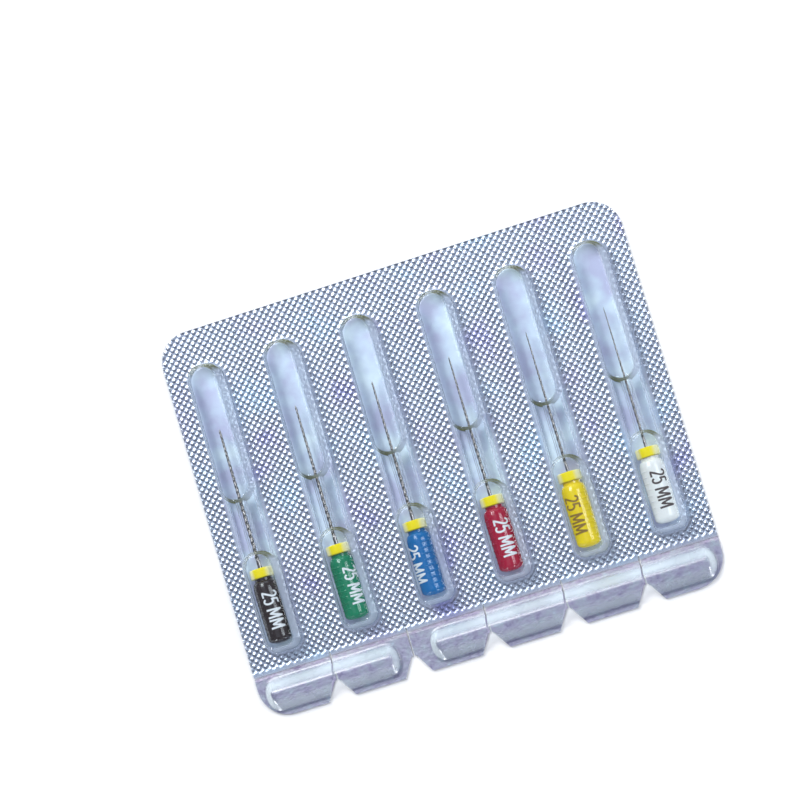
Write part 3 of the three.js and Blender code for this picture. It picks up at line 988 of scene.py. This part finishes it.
# How much of each blade lies inside its grip.
BLADE_HIDDEN = 1.5
STOP_SEGMENTS = 56
STOP_EDGE = 0.22
# The angle of each grip's printed mark, in degrees from straight up towards +X.
LEGEND_ANGLE = {40: 17.0, 35: 38.0, 30: -42.0, 25: 20.0, 20: -18.0, 15: 22.0}


def turned(profile_radius, rows, segments, index, start_y):
    """Points and faces of a body turned about a file's axis. profile_radius takes (distance, angle)."""
    angles = np.linspace(0, 2 * math.pi, segments, endpoint=False)
    distance, angle = np.meshgrid(np.asarray(rows, float), angles, indexing="ij")
    radius = profile_radius(distance, angle)
    x = cell_x(index) + radius * np.sin(angle)
    z = AXIS_HEIGHT + radius * np.cos(angle)
    points = np.column_stack([x.ravel(), (start_y + distance).ravel(), z.ravel()])
    return points, lofted_faces(len(rows), segments)


def grip_radius(distance):
    """The plain radius of a grip along its length, without its ribs."""
    tail_share = np.clip(1 - distance / TAIL_ROUND, 0, 1)
    tail = np.sqrt(np.clip(1 - tail_share**2.4, 0, 1))
    body = TAIL_RADIUS + (GRIP_RADIUS - TAIL_RADIUS) * smoothstep(distance, 1.0, 5.0)
    shoulder_share = np.clip((distance - SHOULDER_LOW) / (SHOULDER_HIGH - SHOULDER_LOW), 0, 1)
    shoulder = 1 - np.sqrt(np.clip(1 - shoulder_share**2, 0, 1))
    return (body - (body - NECK_RADIUS) * shoulder) * (0.12 + 0.88 * tail)


def grip_surface(legend_angle):
    def radius(distance, angle):
        plain = grip_radius(distance)
        turned_by = np.degrees(angle) - legend_angle
        turned_by = np.abs((turned_by + 180) % 360 - 180)
        ribbed = smoothstep(turned_by, LEGEND_ZONE, LEGEND_ZONE + 9)
        ribs = np.zeros_like(distance)
        for rib in range(RIB_COUNT):
            offset = np.abs(distance - RIB_FIRST - rib * RIB_PITCH)
            ribs = np.maximum(ribs, 1 - smoothstep(offset, 0.0, RIB_WIDTH))
        scallop = SCALLOP_DEPTH * (0.5 + 0.5 * np.cos(SCALLOPS * angle)) * (1 - ribs)
        in_body = smoothstep(distance, 1.0, 1.5) * (1 - smoothstep(distance, 8.9, 9.3))
        return plain + ribbed * in_body * (RIB_HEIGHT * ribs - scallop)

    return radius


def grip_rows():
    """Places along a grip: close together at the tail and shoulder, and beside each rib."""
    tail = TAIL_ROUND * (1 - np.cos(np.linspace(0, math.pi / 2, 14)))
    body = np.linspace(TAIL_ROUND, SHOULDER_LOW, GRIP_ROWS)[1:]
    shoulder = np.linspace(SHOULDER_LOW, SHOULDER_HIGH, 16)[1:]
    return np.concatenate([tail, body, shoulder, [HANDLE_LENGTH - 0.08, HANDLE_LENGTH]])


def handle_start(size):
    return box_mm(f"handle_{size}")[0][1]


class ENDO_OT_grips(bpy.types.Operator):
    """Add the moulded grips, ribbed except where the length mark is printed"""

    bl_idname = "endo_pack.grips"
    bl_label = "Grips"

    def execute(self, context):
        for index, size in enumerate(SIZES):
            surface = grip_surface(LEGEND_ANGLE[size])
            points, faces = turned(surface, grip_rows(), GRIP_SEGMENTS, index, handle_start(size))
            colour = tuple(getattr(context.scene.endo_colours, f"grip_{size}"))
            finish = grip_material(f"grip_{size}_plastic", colour)
            name, body = f"grip_{size}", f"file_{size}"
            soften(make_object(name, points, faces, finish, body, name, (f"handle_{size}",)), 50)
        return {"FINISHED"}


def blade_radius(size, from_tip):
    return 0.5 * (size / 100 + TAPER_GROWTH * np.clip(from_tip / TAPER_LENGTH, 0, 1))


class ENDO_OT_blades(bpy.types.Operator):
    """Add the ground steel blades, each a row of cones cut by one spiral flute"""

    bl_idname = "endo_pack.blades"
    bl_label = "Blades"

    def execute(self, context):
        sizes = context.scene.endo_sizes
        finish = steel_material()
        for index, size in enumerate(SIZES):
            low, high = box_mm(f"blade_{size}")
            tang = high[1] - WORKING_LENGTH - low[1]
            length = high[1] - low[1]
            rows = int((length - tang + BLADE_HIDDEN) / BLADE_ROW)
            places = [*np.linspace(tang - BLADE_HIDDEN, length - 0.02, rows), length]
            surface = self.surface(size, length, sizes)
            points, faces = turned(surface, places, BLADE_SEGMENTS, index, low[1])
            name, body = f"file_blade_{size}", f"file_{size}"
            soften(make_object(name, points, faces, finish, body, "steel", (f"blade_{size}",)), 40)
        return {"FINISHED"}

    @staticmethod
    def surface(size, length, sizes):
        """The blade's radius at a distance from its tang and an angle, with the flute's saw-tooth turns."""
        tip_pitch, shaft_pitch = sizes.flute_pitch_tip / MM, sizes.flute_pitch_shaft / MM

        def radius(distance, angle):
            from_tip = length - distance
            full = blade_radius(size, from_tip)
            growth = (shaft_pitch - tip_pitch) / FLUTED_LENGTH
            turns = np.log1p(growth * np.clip(from_tip, 0, FLUTED_LENGTH) / tip_pitch) / growth
            phase = (turns + angle / (2 * math.pi)) % 1.0
            tooth = np.where(phase < TOOTH_RISE, phase / TOOTH_RISE, (1 - phase) / (1 - TOOTH_RISE))
            fluted = smoothstep(from_tip, 0.1, 0.6)
            fluted *= 1 - smoothstep(from_tip, FLUTED_LENGTH - 1.2, FLUTED_LENGTH)
            point = np.clip(from_tip / TIP_LENGTH, 0.04, 1)
            return full * point * (1 - FLUTE_DEPTH * (1 - tooth) * fluted)

        return radius


class ENDO_OT_stops(bpy.types.Operator):
    """Add the silicone stops, soft discs with a small direction notch"""

    bl_idname = "endo_pack.stops"
    bl_label = "Silicone Stops"

    def execute(self, context):
        finish = stop_material(tuple(context.scene.endo_colours.stop))
        for index, size in enumerate(SIZES):
            low, high = box_mm(f"stop_{size}")
            thick, radius = high[1] - low[1], 0.5 * (high[0] - low[0])
            rows, radii = np.array(self.profile(thick, radius)).T
            surface = self.surface(radii[:, None], math.radians(70 + 47 * index))
            points, faces = turned(surface, rows, STOP_SEGMENTS, index, low[1])
            name, body = f"silicone_stop_{size}", f"stopper_{size}"
            stop = make_object(name, points, faces, finish, body, "stop", (f"stop_{size}",))
            # How far across X each point lies from the axis, for the stop's painted pale sheen at its sides.
            store(stop.data, "side", "POINT", np.abs(points[:, 0] - cell_x(index)) / radius)
            soften(stop, 55)
        return {"FINISHED"}

    @staticmethod
    def surface(radii, notch_angle):
        """The stop's radius, with its direction notch in the rim."""

        def radius(distance, angle):
            away = np.abs((angle - notch_angle + math.pi) % (2 * math.pi) - math.pi)
            notch = 0.13 * (1 - smoothstep(away, 0.10, 0.26))
            return radii * (1 - notch * (radii > 0.6 * radii.max()))

        return radius

    @staticmethod
    def profile(thick, radius):
        """(along, radius) from one face to the other, with a dimple round the blade and soft edges."""
        edge, flat = STOP_EDGE, radius - STOP_EDGE
        return (
            [(0.10, 0.42), (0.02, 0.62), (0.0, 0.9)]
            + [(edge * (1 - c), flat + edge * s) for s, c in quarter(6)]
            + [(thick - edge + edge * s, flat + edge * c) for s, c in quarter(6)]
            + [(thick, 0.9), (thick - 0.02, 0.62), (thick - 0.10, 0.42)]
        )


# ---- figures drawn with strokes ----
# Each figure is its width and its strokes, in a box one unit high.
FIGURES = {
    "0": (0.38, [arc((0.19, 0.5), (0.18, 0.48), 90, 450, 24)]),
    "1": (0.24, [[(0.02, 0.78), (0.16, 0.98), (0.16, 0.0)]]),
    "2": (0.36, [arc((0.18, 0.74), (0.17, 0.24), 165, -30) + [(0.02, 0.03), (0.37, 0.03)]]),
    "3": (0.36, [arc((0.17, 0.74), (0.16, 0.24), 150, -90), arc((0.17, 0.26), (0.18, 0.25), 90, -150)]),
    "4": (0.40, [[(0.30, 0.0), (0.30, 0.98), (0.01, 0.28), (0.41, 0.28)]]),
    "5": (0.36, [[(0.34, 0.97), (0.07, 0.97), (0.04, 0.56)] + arc((0.17, 0.32), (0.18, 0.30), 115, -145)]),
    "M": (0.60, [[(0.04, 0.0), (0.07, 0.98), (0.30, 0.20), (0.53, 0.98), (0.56, 0.0)]]),
    " ": (0.10, []),
}


def text_strokes(text, height, gap=0.12):
    """The strokes of a text, its first figure's foot at the origin."""
    strokes, x = [], 0.0
    for figure in text:
        width, lines = FIGURES[figure]
        strokes += [[((x + px) * height, py * height) for px, py in line] for line in lines]
        x += width + gap
    return strokes


def resampled(line, step):
    """A line with extra points, no two more than a step apart."""
    points = []
    for (ax, ay), (bx, by) in zip(line, line[1:]):
        count = max(1, int(math.ceil(math.hypot(bx - ax, by - ay) / step)))
        points += [(ax + (bx - ax) * k / count, ay + (by - ay) * k / count) for k in range(count)]
    return points + [line[-1]]


def ribbon(line, width, thickness, place):
    """Points and faces of a thin closed band along a line. place turns (u, v, height) into a point."""
    line = np.array(resampled(line, 0.09))
    tangent = np.gradient(line, axis=0)
    if np.allclose(line[0], line[-1]):
        tangent[0] = tangent[-1] = line[1] - line[-2]
    tangent /= np.maximum(np.linalg.norm(tangent, axis=1, keepdims=True), 1e-9)
    side = np.column_stack([-tangent[:, 1], tangent[:, 0]]) * width / 2
    points = []
    for (u, v), (su, sv) in zip(line, side):
        for sign, height in ((1, 0.0), (1, thickness), (-1, thickness), (-1, 0.0)):
            points.append(place(u + sign * su, v + sign * sv, height))
    return points, lofted_faces(len(line), 4)


def joined(parts):
    """Several (points, faces) as one."""
    points, faces = [], []
    for part_points, part_faces in parts:
        start = len(points)
        points += [tuple(p) for p in part_points]
        faces += [[start + i for i in face] for face in part_faces]
    return points, faces


LEGEND_TEXT = "25 MM"
LEGEND_START = 8.3
STROKE_SHARE = 0.13
INK_THICKNESS = 0.014


class ENDO_OT_legends(bpy.types.Operator):
    """Add the length mark printed along each grip"""

    bl_idname = "endo_pack.legends"
    bl_label = "Length Marks"

    def execute(self, context):
        height = context.scene.endo_sizes.legend_height / MM
        white = ink_material("white_ink", (0.90, 0.91, 0.92))
        dark = ink_material("dark_ink", (0.07, 0.045, 0.04))
        brown = ink_material("brown_ink", (0.30, 0.17, 0.01))
        inks = {20: brown, 15: dark}
        for index, size in enumerate(SIZES):
            strokes = text_strokes(LEGEND_TEXT, height)
            place = self.wrap(index, size, height)
            parts = [ribbon(line, height * STROKE_SHARE, INK_THICKNESS, place) for line in strokes]
            ink, body, slot = inks.get(size, white), f"file_{size}", f"grip_{size}"
            make_object(f"length_mark_{size}", *joined(parts), ink, body, slot, smooth=False)
        return {"FINISHED"}

    @staticmethod
    def wrap(index, size, height):
        """Lays flat figures round the grip, read from the stop towards the tail."""
        start = handle_start(size)
        middle = math.radians(LEGEND_ANGLE[size])

        def place(u, v, rise):
            distance = LEGEND_START - u
            radius = float(grip_radius(np.array(distance))) + 0.004
            angle = middle + (v - height / 2) / radius
            radius += rise
            return (
                cell_x(index) + radius * math.sin(angle),
                start + distance,
                AXIS_HEIGHT + radius * math.cos(angle),
            )

        return place


# ---- label ----
# The label is laid out from its own far right corner, seen from above, so it reads from below.
LABEL_CORNER = 2.0
PRINT_DEPTH = 0.012
INK_FACE = 0.5 * PRINT_DEPTH
# How far the white panel is set in at the left, right, near and far sides, and its corners.
PANEL_INSETS, PANEL_CORNER = (2.6, 2.4, 3.4, 4.8), 2.4
# Heading and two lines: from and to, in from the right edge, down from the far edge, and thickness.
TEXT_BARS = ((16.0, 50.0, 10.6, 1.9), (14.0, 44.0, 16.0, 1.5), (14.0, 38.0, 20.6, 1.5))
SHORT_BAR, SHORT_BAR_PITCH, SHORT_BAR_FROM, SHORT_BAR_THICK = 5.4, 6.6, 10.0, 0.9
CODE_SIDE, CODE_DOT, CODE_FROM, CODE_LOW = 5, 1.1, 6.0, 6.0
DISC_FROM, DISC_DOWN, DISC_RADIUS = 5.6, 4.6, 3.1
DOT_FROM, DOT_PITCH, DOT_LOW, DOT_RADIUS, RING_RADIUS = 17.0, 8.6, 8.6, 1.25, 1.32
FIGURE_HEIGHT, FIGURE_STROKE, FIGURE_FROM_DOT = 1.7, 0.24, 1.8


def plate(outline, bottom, top):
    return ring_loft([(bottom, outline), (top, outline)])


class ENDO_OT_label(bpy.types.Operator):
    """Add the label under the foil: grey border, white panel, and plain bars and colour dots"""

    bl_idname = "endo_pack.label"
    bl_label = "Label"

    def execute(self, context):
        x0, y0 = LABEL_LOW[:2]
        x1, y1 = LABEL_HIGH[:2]
        left, right, near, far = PANEL_INSETS
        panel = (x0 + left, x1 - right, y0 + near, y1 - far, PANEL_CORNER, PANEL_CORNER, 6)
        base = rounded_rectangle(x0, x1, y0, y1, LABEL_CORNER, LABEL_CORNER, 6)
        disc = arc((x1 - DISC_FROM, y1 - DISC_DOWN), DISC_RADIUS, 0, 352, 44)
        white = ink_material("label_white", (0.88, 0.89, 0.90))
        self.add("label_sheet", [plate(base, 2 * PRINT_DEPTH, LABEL_HIGH[2])], label_material(), ("label",))
        border = ink_material("label_grey", (0.45, 0.45, 0.46))
        self.add("label_border", [plate(base, PRINT_DEPTH, 2 * PRINT_DEPTH)], border)
        self.add("label_panel", [plate(rounded_rectangle(*panel), INK_FACE, PRINT_DEPTH)], white)
        self.add("label_bars", self.bars(x1, y0, y1), ink_material("label_black", (0.02, 0.02, 0.022)))
        red = ink_material("label_red", (0.72, 0.04, 0.03))
        self.add("label_disc", [plate(disc, 0.5 * INK_FACE, INK_FACE)], red)
        self.add("label_rule", self.rule(x0, x1, y1), white)
        self.size_row(context.scene.endo_colours, x1, y0)
        return {"FINISHED"}

    @staticmethod
    def add(name, parts, finish, replaced=()):
        make_object(name, *joined(parts), finish, "lid", "label", replaced, smooth=False)

    @staticmethod
    def bar(left, right, low, high):
        return plate([(left, low), (right, low), (right, high), (left, high)], 0.0, INK_FACE)

    def bars(self, x1, y0, y1):
        """Plain bars where a pack carries its text: heading, two lines, a date line and a foot line."""
        parts = []
        for left, right, down, thick in TEXT_BARS:
            parts.append(self.bar(x1 - right, x1 - left, y1 - down, y1 - down + thick))
        for row, count in ((y1 - 25.4, 5), (y0 + 1.2, 8)):
            for k in range(count):
                left = x1 - SHORT_BAR_FROM - SHORT_BAR_PITCH * k
                parts.append(self.bar(left - SHORT_BAR, left, row, row + SHORT_BAR_THICK))
        for row in range(CODE_SIDE):
            for column in range(CODE_SIDE):
                if (row * 3 + column * 5 + row * column) % 3 != 1:
                    left, low = x1 - CODE_FROM - CODE_DOT * column, y0 + CODE_LOW + CODE_DOT * row
                    parts.append(self.bar(left - CODE_DOT, left, low, low + CODE_DOT))
        return parts

    @staticmethod
    def rule(x0, x1, y1):
        """The fine curved line that closes the heading band."""
        x, y, bend = x1 - 24.0, y1 - 2.6, 1.6
        line = [(x, y1 - 0.6)] + arc((x - bend, y), bend, 0, -90, 8) + [(x0 + 3.0, y - bend)]
        return [ribbon(line, 0.3, INK_FACE, lambda u, v, h: (u, v, INK_FACE + h))]

    def size_row(self, colours, x1, y0):
        """A dot in each file's colour with its size beside it."""
        parts = []
        for k, size in enumerate(sorted(SIZES)):
            x, y = x1 - DOT_FROM - DOT_PITCH * k, y0 + DOT_LOW
            dot = arc((x, y), DOT_RADIUS, 0, 345, 24)
            ink = ink_material(f"label_dot_{size}", tuple(getattr(colours, f"grip_{size}")))
            self.add(f"label_dot_{size}", [plate(dot, 0.0, INK_FACE)], ink)
            ring = arc((x, y), RING_RADIUS, 0, 360, 32)
            parts.append(ribbon(ring, 0.1, INK_FACE, lambda u, v, h: (u, v, h)))
            start = (x - FIGURE_FROM_DOT, y - FIGURE_HEIGHT / 2)
            parts += [
                ribbon(line, FIGURE_STROKE, INK_FACE, lambda u, v, h, at=start: (at[0] - u, at[1] + v, h))
                for line in text_strokes(str(size), FIGURE_HEIGHT)
            ]
        self.add("label_sizes", parts, ink_material("label_figures", (0.03, 0.03, 0.032)))


# ---- stage ----
# The floor's width in metres, and how far it lies under the label, in millimetres.
FLOOR_SIZE, FLOOR_DROP = 6.0, 0.05
VIEW_TURN = 16.9
VIEW_TILT_RIGHT, VIEW_TILT_NEAR = 9.0, 6.0
VIEW_TARGET = (-3.2, 10.8, 1.0)
VIEW_DISTANCE = 0.71
VIEW_LENS = 200.0
ROOM_COLOUR, ROOM_STRENGTH = (0.72, 0.78, 1.0, 1.0), 0.18
# Name, place in metres, size, brightness and colour of each soft light.
STUDIO_LIGHTS = (
    ("overhead_panel", (-0.20, 0.14, 1.30), (0.80, 0.80), 0.55, (0.86, 0.88, 1.0)),
    ("key_softbox", (-0.33, 0.62, 0.84), (0.50, 0.50), 10.4, (1.0, 0.99, 0.97)),
    ("fill_softbox", (0.75, 0.10, 0.75), (0.50, 0.50), 6.6, (0.97, 0.98, 1.0)),
    ("far_sheet", (-0.05, 1.10, 0.55), (1.6, 0.80), 1.8, (0.95, 0.98, 1.0)),
    ("near_left_lamp", (-0.55, -0.98, 0.22), (0.22, 0.20), 24.0, (0.97, 0.98, 1.0)),
    ("near_right_lamp", (0.45, -1.02, 0.22), (0.22, 0.20), 24.0, (0.97, 0.98, 1.0)),
)


def aim(obj, target, up):
    """Turns a camera or light to look at a target, with up towards the top of its picture."""
    back = (obj.location - target).normalized()
    right = up.cross(back).normalized()
    top = back.cross(right)
    rows = [[right[i], top[i], back[i]] for i in range(3)]
    obj.rotation_euler = Matrix(rows).to_euler()


def soft_light(name, place, size, radiance, colour):
    """A rectangular light of an even brightness, aimed at the pack."""
    data = bpy.data.lights.new(name, "AREA")
    data.shape = "RECTANGLE"
    data.size, data.size_y = size
    data.energy = radiance * math.pi * size[0] * size[1]
    data.color = colour
    light = bpy.data.objects.new(name, data)
    light.location = place
    bpy.context.scene.collection.objects.link(light)
    aim(light, Vector((0, 0, 0)), Vector((0, 1, 0.001)))


class ENDO_OT_stage(bpy.types.Operator):
    """Add the pale floor, the soft studio lights and the camera"""

    bl_idname = "endo_pack.stage"
    bl_label = "Stage"

    def execute(self, context):
        half = FLOOR_SIZE / 2 / MM
        corners = ((-half, -half), (half, -half), (half, half), (-half, half))
        points = [(x, y, -FLOOR_DROP) for x, y in corners]
        floor = mesh_object("floor", points, [[0, 1, 2, 3]])
        floor.data.materials.append(floor_material())
        self.light_room(context)
        self.add_camera(context)
        return {"FINISHED"}

    @staticmethod
    def light_room(context):
        world = bpy.data.worlds.new("studio")
        world.use_nodes = True
        background = world.node_tree.nodes["Background"]
        background.inputs["Color"].default_value = ROOM_COLOUR
        background.inputs["Strength"].default_value = ROOM_STRENGTH
        context.scene.world = world
        context.scene.view_settings.view_transform = "Standard"
        for name, place, size, radiance, colour in STUDIO_LIGHTS:
            soft_light(name, place, size, radiance, colour)

    @staticmethod
    def add_camera(context):
        data = bpy.data.cameras.new("view")
        data.lens = VIEW_LENS
        data.clip_start = 0.01
        data.clip_end = 50.0
        camera = bpy.data.objects.new("view", data)
        tilt_x, tilt_y = math.tan(math.radians(VIEW_TILT_RIGHT)), -math.tan(math.radians(VIEW_TILT_NEAR))
        towards = Vector((tilt_x, tilt_y, 1.0)).normalized()
        target = Vector(VIEW_TARGET) * MM
        camera.location = target + towards * VIEW_DISTANCE
        turn = math.radians(VIEW_TURN)
        aim(camera, target, Vector((math.sin(turn), math.cos(turn), 0.0)))
        context.scene.collection.objects.link(camera)
        context.scene.camera = camera


# ---- panel and registration ----
STEPS = (
    ENDO_OT_stage,
    ENDO_OT_lid_foil,
    ENDO_OT_label,
    ENDO_OT_tabs,
    ENDO_OT_tray,
    ENDO_OT_grips,
    ENDO_OT_legends,
    ENDO_OT_blades,
    ENDO_OT_stops,
)


class ENDO_PT_pack(bpy.types.Panel):
    bl_idname = "ENDO_PT_pack"
    bl_label = "Endodontic File Pack"
    bl_space_type = "VIEW_3D"
    bl_region_type = "UI"
    bl_category = "File Pack"

    def draw(self, context):
        layout = self.layout
        for group in (context.scene.endo_sizes, context.scene.endo_colours):
            box = layout.box()
            for name in type(group).__annotations__:
                box.prop(group, name)
        for step in STEPS:
            layout.operator(step.bl_idname)


CLASSES = (ENDO_PG_sizes, ENDO_PG_colours, *STEPS, ENDO_PT_pack)


def register():
    for cls in CLASSES:
        bpy.utils.register_class(cls)
    bpy.types.Scene.endo_sizes = bpy.props.PointerProperty(type=ENDO_PG_sizes)
    bpy.types.Scene.endo_colours = bpy.props.PointerProperty(type=ENDO_PG_colours)


def unregister():
    del bpy.types.Scene.endo_colours
    del bpy.types.Scene.endo_sizes
    for cls in reversed(CLASSES):
        bpy.utils.unregister_class(cls)


def main():
    register()
    for step in STEPS:
        group, name = step.bl_idname.split(".")
        getattr(getattr(bpy.ops, group), name)()


if __name__ == "__main__":
    main()
